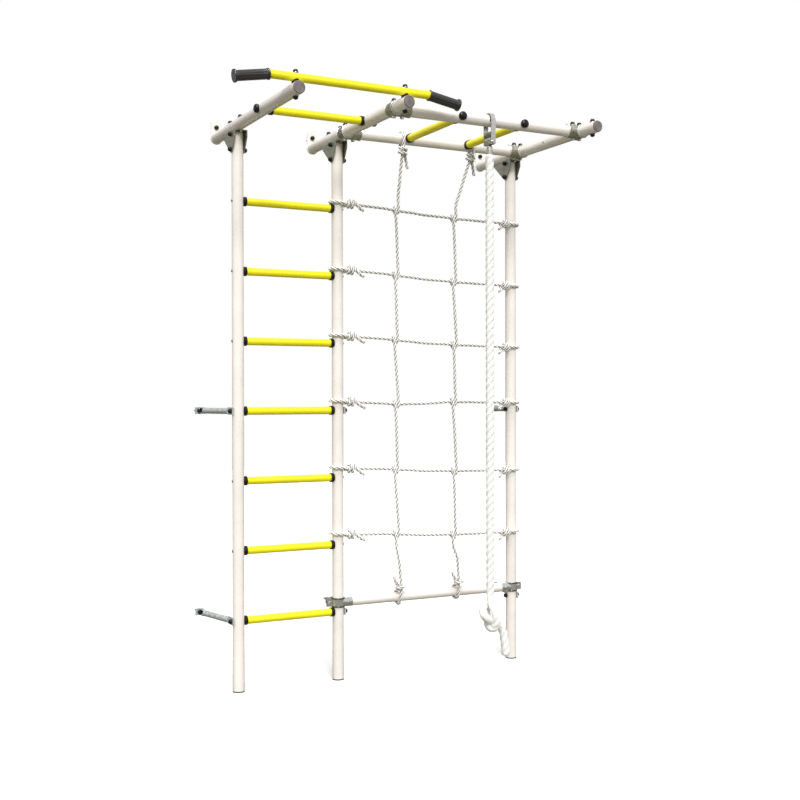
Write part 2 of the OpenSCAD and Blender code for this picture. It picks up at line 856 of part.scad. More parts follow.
module rope_ferrule() {
    color("silver")
        at_hanger()
            rotate_extrude()
            polygon([[0, rope_top], [9.6, rope_top], [10.4, rope_top + 2], [10.4, 1931], [8.5, 1935.5],
                [stem_r, 1937.5], [stem_r, stem_head_z], [stem_head_r, stem_head_z],
                [stem_head_r, stem_head_z + 7], [0, stem_head_z + 7]]);
}

module climbing_rope() { color("white") swept_tube(rope_route, rope_r, 12); }

module rope_knot() {
    color("white")
        at_hanger()
            difference() {
                translate([0, 0, knot_z])
                    union() {
                        sphere(r = knot_r);
                        rotate([0, 180 - atan2(tail_tip.x, -tail_tip.z), 0])
                            cylinder(r = rope_r, h = norm(tail_tip));
                    }
                translate([-60, -60, rope_end]) cube([120, 120, 60]);
            }
}

left_post_lower();
left_post_upper();
mid_post_lower();
mid_post_upper();
right_post_lower();
right_post_upper();
post_spigots();
foot_plugs();
post_top_plugs();
rung_1();
rung_2();
rung_3();
rung_4();
rung_5();
rung_6();
rung_7();
rung_collars();
left_cantilever();
mid_cantilever();
right_cantilever();
cantilever_end_caps();
wall_plates();
left_head_bracket();
mid_head_bracket();
right_head_bracket();
cross_bar();
front_rail();
rear_rail();
bottom_rail();
left_monkey_rung();
right_monkey_rung();
bar_collars();
mid_front_clamp();
mid_rear_clamp();
right_front_clamp();
right_rear_clamp();
mid_collar_clamp();
right_collar_clamp();
pull_up_bar();
left_grip();
right_grip();
bar_saddles();
upper_wall_arms();
lower_wall_arms();
ladder_bolts();
head_bolts();
clamp_bolts();
bar_bolts();
wall_anchors();
bolt_caps();
net_rows();
net_left_column();
net_right_column();
hanger_liner();
hanger_strap();
hanger_bolts();
swivel_housing();
rope_ferrule();
climbing_rope();
rope_knot();
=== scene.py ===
"""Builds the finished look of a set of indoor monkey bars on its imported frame."""

import json
import math

import bpy
from mathutils import Matrix, Vector


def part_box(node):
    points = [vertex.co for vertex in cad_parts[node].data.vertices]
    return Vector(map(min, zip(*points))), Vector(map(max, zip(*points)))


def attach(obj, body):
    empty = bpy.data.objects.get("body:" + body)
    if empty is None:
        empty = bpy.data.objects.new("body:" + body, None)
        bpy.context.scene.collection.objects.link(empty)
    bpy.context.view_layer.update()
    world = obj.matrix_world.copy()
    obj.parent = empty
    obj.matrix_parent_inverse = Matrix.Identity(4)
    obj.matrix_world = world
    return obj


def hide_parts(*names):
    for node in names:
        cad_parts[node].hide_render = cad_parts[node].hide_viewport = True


bl_info = {
    "name": "Indoor Monkey Bars",
    "version": (1, 0, 0),
    "blender": (4, 5, 0),
    "location": "View3D > Sidebar > Monkey Bars",
    "description": "Coats the frame of a set of indoor monkey bars and ties its net and its climbing rope",
    "category": "Add Mesh",
}

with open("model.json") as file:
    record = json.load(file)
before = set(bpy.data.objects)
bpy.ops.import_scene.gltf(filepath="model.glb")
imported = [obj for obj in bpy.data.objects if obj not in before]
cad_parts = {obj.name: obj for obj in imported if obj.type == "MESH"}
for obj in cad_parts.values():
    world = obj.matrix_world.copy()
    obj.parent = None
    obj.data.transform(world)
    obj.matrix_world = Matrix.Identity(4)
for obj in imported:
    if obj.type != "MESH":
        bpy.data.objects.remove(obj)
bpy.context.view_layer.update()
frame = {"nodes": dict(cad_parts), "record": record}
NODES = frame["nodes"]

MM = 0.001
LEFT, MID, RIGHT = -0.390, 0.0, 0.765
POSTS = {"left": LEFT, "mid": MID, "right": RIGHT}
HEAD_Z = 2.023
TUBE_R = 0.021


# ---------------------------------------------------------------- settings


def colour(name, description, default):
    return bpy.props.FloatVectorProperty(
        name=name, description=description, default=default, subtype="COLOR", size=3, min=0, max=1
    )


def length(name, description, default):
    return bpy.props.FloatProperty(
        name=name, description=description, default=default, unit="LENGTH", precision=4
    )


def groove_depth(name, description, default):
    return bpy.props.FloatProperty(name=name, description=description, default=default, min=0, max=0.6)


class BarColours(bpy.types.PropertyGroup):
    cream: colour("Cream coat", "Powder coat of the posts and rails", (0.86, 0.80, 0.752))
    yellow: colour("Yellow coat", "Powder coat of the rungs and bars", (0.95, 0.84, 0.004))
    black: colour("Black plastic", "Collars, saddles and bolt caps", (0.006, 0.006, 0.007))
    rubber: colour("Grip rubber", "Hand grips", (0.009, 0.008, 0.008))
    grey: colour("Grey caps", "End caps of the cantilevers", (0.155, 0.135, 0.135))
    dark: colour("Dark plugs", "Plugs in the ends of the posts", (0.045, 0.045, 0.045))
    zinc: colour("Galvanised steel", "Brackets, T-shaped clamps and bolts", (0.44, 0.44, 0.355))
    arm: colour("Wall arms", "Dipped zinc of the wall arms", (0.60, 0.64, 0.63))
    polished: colour("Polished clamps", "Polished clamps of the lower rail", (0.66, 0.66, 0.64))
    # painted highlight: the T-shaped clamps' rims are coloured near white in place of the light catching
    # their rolled edges
    rim: colour("Clamp rims", "Bright rolled rims of the T-shaped clamps", (0.90, 0.90, 0.87))
    # painted shade: the lower rail's clamp rims are coloured near black in place of the shade along the edges
    # of their band
    shaded: colour("Shaded rims", "Dark rims of the lower rail's clamps", (0.07, 0.07, 0.068))
    bright: colour("Bright steel", "Zinc-plated nuts, washers, ferrule and strap", (0.62, 0.62, 0.61))
    net: colour("Net rope", "Strands of the net's rope", (0.95, 0.935, 0.895))
    # painted shade: the dark colour the net's strands take in their grooves, in place of the shade between
    # strands
    net_groove_shade: colour("Net grooves", "Shaded grooves of the net's rope", (0.036, 0.031, 0.026))
    rope: colour("Climbing rope", "Strands of the thick rope", (0.97, 0.955, 0.935))
    # painted shade: the faint colour the thick rope's strands take in their grooves, in place of the shade
    # between strands
    rope_groove_shade: colour("Rope grooves", "Grooves of the thick rope", (0.93, 0.915, 0.89))


class RopeSizes(bpy.types.PropertyGroup):
    net_d: length("Net rope", "Diameter of the net's rope", 0.013)
    net_lay: length("Net lay", "Length of one turn of a strand in the net's rope", 0.057)
    rope_d: length("Climbing rope", "Diameter of the thick rope", 0.030)
    rope_lay: length("Rope lay", "Length of one turn of a strand in the thick rope", 0.080)
    net_depth: groove_depth("Net grooves", "How deep the grooves of the net's rope are", 0.5)
    rope_depth: groove_depth("Rope grooves", "How deep the grooves of the thick rope are", 0.20)


# ---------------------------------------------------------------- materials


def shader(name, **sockets):
    """A new material and its node tree, shader and link function."""
    mat = bpy.data.materials.new(name)
    mat.use_nodes = True
    tree = mat.node_tree
    bsdf = tree.nodes["Principled BSDF"]
    for key, value in sockets.items():
        bsdf.inputs[key.replace("_", " ")].default_value = value
    return mat, tree, bsdf


def rgba(c):
    """A colour with full opacity."""
    return (c[0], c[1], c[2], 1.0)


def add(tree, kind, **values):
    """A new node with its settings, or the defaults of its sockets, filled in."""
    node = tree.nodes.new(kind)
    for key, value in values.items():
        if hasattr(node, key):
            setattr(node, key, value)
        else:
            node.inputs[key.replace("_", " ")].default_value = value
    return node


def ramp(tree, source, stops):
    """Turns a value into the colours of the stops."""
    node = add(tree, "ShaderNodeValToRGB")
    els = node.color_ramp.elements
    while len(els) < len(stops):
        els.new(0.5)
    for el, (pos, col) in zip(els, stops):
        el.position = pos
        el.color = rgba(col) if len(col) == 3 else col
    tree.links.new(source, node.inputs["Fac"])
    return node.outputs["Color"]


def grey(v):
    return (v, v, v, 1.0)


def bump(tree, bsdf, height, strength, distance):
    """Raises the surface by a height value."""
    node = add(tree, "ShaderNodeBump", Strength=strength, Distance=distance)
    tree.links.new(height, node.inputs["Height"])
    tree.links.new(node.outputs["Normal"], bsdf.inputs["Normal"])


def noise(tree, scale, detail=3.0, roughness=0.5, stretch=None):
    """Noise on object coordinates, squeezed or stretched where a finish has a direction."""
    coord = add(tree, "ShaderNodeTexCoord")
    source = coord.outputs["Object"]
    if stretch:
        mapping = add(tree, "ShaderNodeMapping")
        mapping.inputs["Scale"].default_value = stretch
        tree.links.new(source, mapping.inputs["Vector"])
        source = mapping.outputs["Vector"]
    node = add(tree, "ShaderNodeTexNoise", Scale=scale, Detail=detail, Roughness=roughness)
    tree.links.new(source, node.inputs["Vector"])
    return node.outputs["Fac"]


def shades(c, low, high):
    """A darker and a lighter shade of a colour."""
    return tuple(x * low for x in c), tuple(min(1.0, x * high) for x in c)


def powder_coat(name, base, roughness, clear):
    """Baked powder coat: fine orange peel, a faint clouding and small scuffs."""
    mat, tree, bsdf = shader(name, Coat_Weight=clear, Coat_Roughness=0.12)
    dark, light = shades(base, 0.93, 1.03)
    cloud = noise(tree, 7.0, 4.0)
    tree.links.new(ramp(tree, cloud, [(0.35, dark), (0.65, light)]), bsdf.inputs["Base Color"])
    scuff = noise(tree, 38.0, 6.0, 0.65)
    gloss = ramp(tree, scuff, [(0.35, grey(roughness - 0.05)), (0.72, grey(roughness + 0.12))])
    tree.links.new(gloss, bsdf.inputs["Roughness"])
    bump(tree, bsdf, noise(tree, 900.0, 2.0), 0.10, 0.0004)
    return mat


def moulded(name, base, roughness):
    """Moulded plastic with a fine spark-eroded grain."""
    mat, tree, bsdf = shader(name, Specular_IOR_Level=0.32)
    dark, light = shades(base, 0.8, 1.35)
    tree.links.new(ramp(tree, noise(tree, 60.0, 4.0), [(0.3, dark), (0.7, light)]), bsdf.inputs["Base Color"])
    gloss = ramp(tree, noise(tree, 240.0, 3.0), [(0.3, grey(roughness - 0.06)), (0.7, grey(roughness + 0.1))])
    tree.links.new(gloss, bsdf.inputs["Roughness"])
    bump(tree, bsdf, noise(tree, 1500.0, 2.0), 0.12, 0.0003)
    return mat


def rubber(name, base):
    """Glossy black rubber with a faint bloom."""
    mat, tree, bsdf = shader(name, Specular_IOR_Level=0.9, Sheen_Weight=0.02, Sheen_Roughness=0.4)
    dark, light = shades(base, 0.8, 1.6)
    bloom = ramp(tree, noise(tree, 45.0, 5.0), [(0.3, dark), (0.75, light)])
    tree.links.new(bloom, bsdf.inputs["Base Color"])
    gloss = ramp(tree, noise(tree, 120.0, 3.0), [(0.3, grey(0.10)), (0.7, grey(0.20))])
    tree.links.new(gloss, bsdf.inputs["Roughness"])
    bump(tree, bsdf, noise(tree, 2200.0, 2.0), 0.2, 0.0004)
    return mat


def zinc_plate(name, base, roughness, spangle, metal=0.92):
    """Zinc on steel: soft spangle, streaks and rubbed spots."""
    mat, tree, bsdf = shader(name, Metallic=metal)
    coord = add(tree, "ShaderNodeTexCoord")
    cells = add(tree, "ShaderNodeTexVoronoi", Scale=spangle)
    tree.links.new(coord.outputs["Object"], cells.inputs["Vector"])
    dark, light = shades(base, 0.78, 1.18)
    patch = add(tree, "ShaderNodeMix", data_type="RGBA", blend_type="MULTIPLY")
    patch.inputs["Factor"].default_value = 0.55
    tree.links.new(ramp(tree, cells.outputs["Color"], [(0.2, dark), (0.8, light)]), patch.inputs[6])
    streaks = ramp(tree, noise(tree, 22.0, 5.0, 0.6), [(0.3, grey(0.72)), (0.7, grey(1.0))])
    tree.links.new(streaks, patch.inputs[7])
    tree.links.new(patch.outputs[2], bsdf.inputs["Base Color"])
    gloss = ramp(tree, noise(tree, 90.0, 4.0), [(0.3, grey(roughness - 0.08)), (0.7, grey(roughness + 0.12))])
    tree.links.new(gloss, bsdf.inputs["Roughness"])
    bump(tree, bsdf, noise(tree, 500.0, 3.0), 0.12, 0.0003)
    return mat


YARN_SLANT = 1.4


def rope_fibre(name, base, groove, width, yarns, depth, tone):
    """Laid rope: strands darkened towards their grooves by painted shade, with fine yarns that turn the other
    way.

    Groove is the colour of that painted shade, width how far a strand stays light, depth how high its yarns
    stand, and tone how strongly they show.
    The UV map runs along the rope in u, in turns of a strand, and once round it in v."""
    mat, tree, bsdf = shader(name, Roughness=0.78, Sheen_Weight=0.25, Sheen_Roughness=0.5)
    uv = add(tree, "ShaderNodeUVMap", uv_map="along")
    split = add(tree, "ShaderNodeSeparateXYZ")
    tree.links.new(uv.outputs["UV"], split.inputs["Vector"])

    def math_node(op, a, b=None):
        node = add(tree, "ShaderNodeMath", operation=op)
        for i, x in enumerate((a, b)):
            if x is None:
                continue
            if isinstance(x, (int, float)):
                node.inputs[i].default_value = x
            else:
                tree.links.new(x, node.inputs[i])
        return node.outputs["Value"]

    strand = math_node("FRACT", math_node("MULTIPLY", split.outputs["Y"], 3.0))
    side = math_node("MULTIPLY", math_node("ABSOLUTE", math_node("SUBTRACT", strand, 0.5)), 2.0)
    # painted shade: each strand's colour runs from base to the groove colour at its edges, standing in for
    # the shade between strands
    mid = tuple((2 * a + b) / 3 for a, b in zip(base, groove))
    body = ramp(tree, side, [(0.0, base), (width - 0.12, base), (width, mid), (width + 0.12, groove)])
    lead = math_node("MULTIPLY", split.outputs["X"], -yarns * YARN_SLANT)
    turn = math_node("ADD", lead, math_node("MULTIPLY", strand, yarns))
    yarn = math_node("ABSOLUTE", math_node("SINE", math_node("MULTIPLY", turn, math.pi)))
    tint = add(tree, "ShaderNodeMix", data_type="RGBA", blend_type="MULTIPLY")
    tint.inputs["Factor"].default_value = tone
    tree.links.new(body, tint.inputs[6])
    tree.links.new(ramp(tree, yarn, [(0.0, grey(0.72)), (0.45, grey(1.0))]), tint.inputs[7])
    wear = add(tree, "ShaderNodeMix", data_type="RGBA", blend_type="MULTIPLY")
    wear.inputs["Factor"].default_value = tone
    tree.links.new(tint.outputs[2], wear.inputs[6])
    handling = ramp(tree, noise(tree, 60.0, 5.0, 0.6), [(0.3, grey(0.82)), (0.7, grey(1.0))])
    tree.links.new(handling, wear.inputs[7])
    tree.links.new(wear.outputs[2], bsdf.inputs["Base Color"])
    fuzz = noise(tree, 1400.0, 3.0, 0.7)
    height = math_node("ADD", math_node("MULTIPLY", yarn, 0.8), math_node("MULTIPLY", fuzz, 0.5))
    bump(tree, bsdf, height, 0.55, depth)
    return mat


def coat(obj, mat):
    """Gives an object one material."""
    obj.data.materials.clear()
    obj.data.materials.append(mat)


def finish_table(colours):
    """One material for each slot of the record, and for four pieces with a zinc of their own, two of which
    carry the painted highlight and painted shade of the clamp rims.
    """
    return {
        "post_coat": powder_coat("cream_powder_coat", colours.cream, 0.26, 0.35),
        "yellow_coat": powder_coat("yellow_powder_coat", colours.yellow, 0.34, 0.25),
        "black_plastic": moulded("black_moulded_plastic", colours.black, 0.24),
        "grip_rubber": rubber("ribbed_grip_rubber", colours.rubber),
        "grey_plastic": moulded("grey_cap_plastic", colours.grey, 0.5),
        "dark_plastic": moulded("dark_plug_plastic", colours.dark, 0.5),
        "galvanised_steel": zinc_plate("dull_zinc", colours.zinc, 0.42, 160.0),
        "arm_zinc": zinc_plate("arm_zinc", colours.arm, 0.36, 160.0, 0.5),
        "polished_zinc": zinc_plate("polished_zinc", colours.polished, 0.20, 900.0),
        # painted highlight: a near-white copy of the zinc for the T-clamp rims
        "painted_highlight_rim_zinc": zinc_plate("painted_highlight_rim_zinc", colours.rim, 0.24, 900.0, 0.6),
        # painted shade: a near-black copy of the zinc for the lower clamps' rims
        "painted_shade_zinc": zinc_plate("painted_shade_zinc", colours.shaded, 0.26, 900.0),
        "bright_steel": zinc_plate("bright_zinc", colours.bright, 0.26, 320.0),
        "bolt_steel": zinc_plate("bolt_zinc", colours.zinc, 0.34, 320.0),
        "net_cord": rope_fibre(
            "net_rope_fibre", colours.net, colours.net_groove_shade,
            width=0.71, yarns=4.0, depth=0.0008, tone=0.35,
        ),
        "rope_cord": rope_fibre(
            "climbing_rope_fibre", colours.rope, colours.rope_groove_shade,
            width=0.80, yarns=7.0, depth=0.0012, tone=0.22,
        ),
    }


FINISH = {}


def finish(obj, slot):
    """Gives a new piece the material of a slot."""
    coat(obj, FINISH[slot])


# ---------------------------------------------------------------- rope making


def mm(*xyz):
    """A point given in millimetres."""
    return Vector([v * MM for v in xyz])


def smooth_line(points, step):
    """Points a step apart on a smooth curve through the given points."""
    pts = [points[0] * 2 - points[1]] + list(points) + [points[-1] * 2 - points[-2]]
    fine = []
    for i in range(1, len(pts) - 2):
        p0, p1, p2, p3 = pts[i - 1 : i + 3]
        t0 = 0.0
        t1 = t0 + max((p1 - p0).length, 1e-6) ** 0.5
        t2 = t1 + max((p2 - p1).length, 1e-6) ** 0.5
        t3 = t2 + max((p3 - p2).length, 1e-6) ** 0.5
        for k in range(24):
            t = t1 + (t2 - t1) * k / 24
            a1 = (p0 * (t1 - t) + p1 * (t - t0)) / (t1 - t0)
            a2 = (p1 * (t2 - t) + p2 * (t - t1)) / (t2 - t1)
            a3 = (p2 * (t3 - t) + p3 * (t - t2)) / (t3 - t2)
            b1 = (a1 * (t2 - t) + a2 * (t - t0)) / (t2 - t0)
            b2 = (a2 * (t3 - t) + a3 * (t - t1)) / (t3 - t1)
            fine.append((b1 * (t2 - t) + b2 * (t - t1)) / (t2 - t1))
    fine.append(points[-1].copy())
    total = sum((b - a).length for a, b in zip(fine, fine[1:]))
    count = max(4, round(total / step))
    gap = total / count
    line, want, run = [fine[0].copy()], gap, 0.0
    for a, b in zip(fine, fine[1:]):
        d = (b - a).length
        while d > 0 and run + d >= want - 1e-9 and len(line) < count:
            line.append(a.lerp(b, (want - run) / d))
            want += gap
        run += d
    line.append(fine[-1].copy())
    return line, total


def strand_profile(groove, per_strand):
    """Radius factors once round a three-strand rope."""
    out = []
    offset = 0.10 + 0.8 * groove
    radius = 1.0 - offset
    for j in range(3 * per_strand):
        angle = (j / per_strand % 1.0 - 0.5) * 2 * math.pi / 3
        half_chord = math.sqrt(max(radius * radius - (offset * math.sin(angle)) ** 2, 0.0))
        out.append(offset * math.cos(angle) + half_chord)
    return out


def rope_rings(line, diameter, lay, groove, per_strand):
    """Vertices, faces and UVs of one laid rope on a line."""
    radii = [x * diameter / 2 for x in strand_profile(groove, per_strand)]
    n = len(radii)
    verts, faces, uvs = [], [], []
    side = Vector((0.31, 0.17, 0.93))
    run = 0.0
    rings = []
    for i, p in enumerate(line):
        t = (line[min(i + 1, len(line) - 1)] - line[max(i - 1, 0)]).normalized()
        side = (side - t * side.dot(t)).normalized()
        if i:
            run += (p - line[i - 1]).length
        rings.append((p, t, side.copy(), run))
    first, last = rings[0], rings[-1]
    dome = [(0.10, 0.94), (0.16, 0.78)]
    start = [(first[0] - first[1] * diameter * out, *first[1:], k) for out, k in reversed(dome)]
    end = [(last[0] + last[1] * diameter * out, *last[1:], k) for out, k in dome]
    full = start + [(*r, 1.0) for r in rings] + end
    for p, t, s, run, k in full:
        b = t.cross(s)
        twist = 2 * math.pi * run / lay
        for j, r in enumerate(radii):
            a = 2 * math.pi * j / n + twist
            verts.append(p + (s * math.cos(a) + b * math.sin(a)) * r * k)
    for i in range(len(full) - 1):
        u0, u1 = full[i][3] / lay, full[i + 1][3] / lay
        for j in range(n):
            k = (j + 1) % n
            faces.append((i * n + j, i * n + k, (i + 1) * n + k, (i + 1) * n + j))
            uvs += [(u0, j / n), (u0, (j + 1) / n), (u1, (j + 1) / n), (u1, j / n)]
    for ring, flip in ((0, True), (len(full) - 1, False)):
        centre = len(verts)
        verts.append(full[ring][0].copy())
        for j in range(n):
            k = (j + 1) % n
            a, b = ring * n + j, ring * n + k
            faces.append((centre, b, a) if flip else (centre, a, b))
            u = full[ring][3] / lay
            middle, here, after = (u, (j + 0.5) / n), (u, j / n), (u, (j + 1) / n)
            uvs += [middle, after, here] if flip else [middle, here, after]
    return verts, faces, uvs


def rope_object(name, lines, diameter, lay, groove, per_strand):
    """One object of laid ropes, one on each line."""
    verts, faces, uvs = [], [], []
    for line in lines:
        v, f, u = rope_rings(line, diameter, lay, groove, per_strand)
        base = len(verts)
        verts += v
        faces += [tuple(i + base for i in face) for face in f]
        uvs += u
    mesh = bpy.data.meshes.new(name)
    mesh.from_pydata([tuple(v) for v in verts], [], faces)
    layer = mesh.uv_layers.new(name="along")
    for loop, uv in zip(layer.data, uvs):
        loop.uv = uv
    mesh.polygons.foreach_set("use_smooth", [True] * len(mesh.polygons))
    mesh.update()
    obj = bpy.data.objects.new(name, mesh)
    bpy.context.scene.collection.objects.link(obj)
    return obj


def turns(centre, axis, radius, start, stop, along, steps_per_turn=12):
    """Points of a coil in mm: round centre from angle start to stop, moving along the axis.

    axis x turns in the YZ plane (angle from +Y to +Z); axis z turns in the XY plane (from +X to +Y)."""
    count = max(2, round(abs(stop - start) / 360 * steps_per_turn))
    out = []
    for i in range(count + 1):
        a = math.radians(start + (stop - start) * i / count)
        c = [centre[k] + along[k] * i / count for k in range(3)]
        if axis == "x":
            out.append(mm(c[0], c[1] + radius * math.cos(a), c[2] + radius * math.sin(a)))
        else:
            out.append(mm(c[0] + radius * math.cos(a), c[1] + radius * math.sin(a), c[2]))
    return out


# In mm: how far a net rope's centre lies from the axis of a post, and from that of another net rope
WRAP = 28.1
ROW_MID = (1769, 1523, 1277, 1033, 785, 539)
ROW_RIGHT = (1744, 1497, 1252, 1030, 760, 512)
ROW_COUNT = len(ROW_MID)
COIL = 12.9
COLUMN_FRONT = -42.1


def row_height(k, x):
    """The height of a row over x: it sags a little on each side of the columns."""
    z1, z2 = ROW_MID[k], ROW_RIGHT[k]
    stops = [
        (0, z1 + 5), (60, z1 + 1), (140, z1 - 2), (230, z1 - 6), (350, (z1 + z2) / 2 - 4),
        (481, z2 + 5), (600, z2 + 2), (700, z2 + 1), (765, z2),
    ]
    for (xa, za), (xb, zb) in zip(stops, stops[1:]):
        if xa <= x <= xb:
            return za + (zb - za) * (x - xa) / (xb - xa)
    return z2


def post_turn(z, lift):
    """The turn round the middle post, raised over the collar of the rung behind it."""
    out = []
    for i in range(10):
        t = i / 9
        a = math.radians(276 * t - 6)
        rise = 8 * t + lift * math.sin(math.pi * t)
        out.append(mm(WRAP * math.cos(a), WRAP * math.sin(a), z - 3 + rise))
    return out


def row_points(k):
    """One row: a coiled hitch beside the middle post, the span, and a hitch beside the outer post."""
    z1, z2 = ROW_MID[k], ROW_RIGHT[k]
    lean = (k * 37 % 7 - 3) * 0.8
    pts = [mm(91 + lean, -38, z1 - 21), mm(80 + lean, -41, z1 - 16), mm(68, -42, z1 - 8)]
    pts += turns((58, -WRAP, z1 + 1), "x", COIL, 180, 180 - 720, (-30, 0, 2))
    pts += post_turn(z1, 9 if k == 0 else 5)
    for x in (30, 60, 95, 140, 190):
        pts.append(mm(x, -WRAP, row_height(k, x)))
    for x in (215, 232, 250):
        pts.append(mm(x, -WRAP + 1.5, row_height(k, x) - 1.5))
    for x in (300, 350, 410, 462):
        pts.append(mm(x, -WRAP, row_height(k, x)))
    for x in (482, 500):
        pts.append(mm(x, -WRAP + 1.5, row_height(k, x) - 1.5))
    for x in (550, 600, 650, 700, 735):
        pts.append(mm(x, -WRAP, row_height(k, x)))
    pts += turns((765, 0, z2), "z", WRAP, 270, 546, (0, 0, -4), 12)
    pts += turns((765 - 30, -WRAP, z2 - 1), "x", COIL, 20, 20 + 720, (-28, 0, 0))
    pts += [mm(765 - 66, -30, z2 - 18), mm(765 - 76, -36, z2 - 26)]
    return pts


COLUMNS = {
    "net_left_column": {
        "top": [(264, -60, 1917), (261, -61, 1931), (255, -66, 1947)],
        "knot": (233, -80, 1962),
        "rail": (239, 226),
        "span": [(229, -97, 1996), (232, -84, 1968), (233, -70, 1925), (233, -56, 1860)],
        "xs": (231, 229, 226, 229, 226, 230, 228),
        "low": [(237, -40, 430), (245, -34, 375), (250, -31, 335)],
        "foot": (250, 252),
    },
    "net_right_column": {
        "top": [(558, -60, 1916), (555, -61, 1931), (549, -66, 1948)],
        "knot": (527, -80, 1964),
        "rail": (542, 534),
        "span": [(532, -97, 1996), (526, -84, 1968), (517, -70, 1925), (503, -54, 1860)],
        "xs": (484, 482, 484, 480, 483, 479, 481),
        "low": [(491, -40, 430), (499, -34, 375), (504, -31, 335)],
        "foot": (505, 507),
    },
}


def column_points(name):
    """One column: a knot under the rear rail, a round turn on every row and a hitch on the lower rail."""
    c = COLUMNS[name]
    pts = [mm(*p) for p in c["top"]]
    kx, ky, kz = c["knot"]
    pts += turns((kx, ky, kz), "z", COIL, 20, -520, (-1, -6, 24), 12)
    a, b = c["rail"]
    pts.append(mm(a + 3, -47, 1999))
    pts += turns((a, -74, 2023), "x", WRAP, 0, 180, (b - a, 0, 0), 12)
    pts += [mm(*p) for p in c["span"]]
    for k in range(ROW_COUNT):
        x = c["xs"][k]
        z = row_height(k, x) - 1.5
        y = -WRAP + 1.5
        pts.append(mm(x + 4, COLUMN_FRONT + 2, z + 46))
        pts += turns((x + 6.8, y, z), "x", COIL, 168, 168 + 372, (-13.6, 0, 0), 12)
        pts.append(mm(x - 4, COLUMN_FRONT + 2, z - 46))
        if k + 1 < ROW_COUNT:
            pts.append(mm((x + c["xs"][k + 1]) / 2, COLUMN_FRONT + 1, z - 125))
    pts += [mm(*p) for p in c["low"]]
    a, b = c["foot"]
    pts += turns((a, 0, 288), "x", 25.6, 184, 405, (b - a, 0, 0), 12)
    pts += turns((a - 1, -30, 322), "z", COIL + 3, 60, 60 + 520, (-2, -2, 21), 12)
    pts += [mm(a - 21, -38, 347), mm(a - 31, -40, 358), mm(a - 36, -40, 372)]
    return pts


ROPE_X, ROPE_Y = 378, -465


def climbing_rope_points():
    """The thick rope: straight down from its ferrule, an overhand knot, and a loose tail."""
    heights = (1899, 1870, 1800, 1650, 1450, 1250, 1050, 850, 650, 500, 400, 352)
    knot = [
        (1, -4, 332), (4, -14, 310), (9, -21, 290), (12, -22, 269), (12, -19, 252), (8, -12, 240),
        (2, -1, 237), (0, 12, 245), (1, 24, 264), (1, 29, 289), (-8, 22, 310), (-25, 7, 310),
        (-35, -7, 295), (-26, -11, 278), (-3, -4, 265), (20, 4, 256), (40, 5, 246), (51, 3, 226),
        (58, 1, 190), (62, 0, 160), (63, 0, 141),
    ]
    pts = [mm(ROPE_X, ROPE_Y, z) for z in heights]
    pts += [mm(ROPE_X + x, ROPE_Y + y, z) for x, y, z in knot]
    return pts


# ---------------------------------------------------------------- turned and bent metalwork


def select_only(*objects):
    """Selects these objects and no others."""
    bpy.ops.object.select_all(action="DESELECT")
    for obj in objects:
        obj.select_set(True)
    bpy.context.view_layer.objects.active = objects[0]


def turned(name, outline, sides=32, ring=False):
    """Turns an outline of (radius, height) pairs about Z, by extruding and scaling a circle.

    A ring's outline comes back to its start; any other piece is closed by its two end faces."""
    bpy.ops.object.select_all(action="DESELECT")
    radius, height = outline[0]
    fill = "NOTHING" if ring else "NGON"
    bpy.ops.mesh.primitive_circle_add(vertices=sides, radius=radius, fill_type=fill, location=(0, 0, 0))
    obj = bpy.context.object
    obj.name = name
    bpy.ops.object.mode_set(mode="EDIT")
    bpy.ops.mesh.select_all(action="SELECT")
    bpy.ops.transform.translate(value=(0, 0, height))
    for r, h in outline[1:]:
        bpy.ops.mesh.extrude_region_move(TRANSFORM_OT_translate={"value": (0, 0, h - height)})
        bpy.ops.transform.resize(value=(r / radius, r / radius, 1), center_override=(0, 0, h))
        radius, height = r, h
    bpy.ops.mesh.select_all(action="SELECT")
    bpy.ops.mesh.remove_doubles(threshold=0.00001)
    bpy.ops.mesh.normals_make_consistent(inside=False)
    bpy.ops.object.mode_set(mode="OBJECT")
    return obj


def bead_outline(radius, bead, points=8):
    """The outline of a ring of round wire."""
    angles = [2 * math.pi * i / points for i in range(points + 1)]
    return [(radius + bead * math.cos(a), bead * math.sin(a)) for a in angles]


def facing(point, direction):
    """A place with its Z axis along a direction."""
    turn = Vector(direction).to_track_quat("Z", "Y").to_matrix().to_4x4()
    return Matrix.Translation(Vector(point)) @ turn


def repeated(source, name, places, body, slot, angle=40):
    """Copies a piece to each place, joins the copies, and gives the result a body and a finish."""
    copies = []
    for place in places:
        copy = source.copy()
        copy.data = source.data.copy()
        copy.matrix_world = place
        bpy.context.scene.collection.objects.link(copy)
        copies.append(copy)
    bpy.data.objects.remove(source)
    select_only(*copies)
    bpy.ops.object.transform_apply(location=True, rotation=True, scale=True)
    if len(copies) > 1:
        bpy.ops.object.join()
    piece = bpy.context.object
    piece.name = name
    bpy.ops.object.shade_smooth_by_angle(angle=math.radians(angle))
    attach(piece, body)
    finish(piece, slot)
    return piece


# ---------------------------------------------------------------- operators


CAMERA_PLACE = (-1.7847, -3.9364, 1.0518)
CAMERA_YAW, CAMERA_PITCH, CAMERA_ROLL = 27.475, -0.145, -0.114
CAMERA_LENS = 52.09
FRONT = (-0.23, -0.97, 0.0)


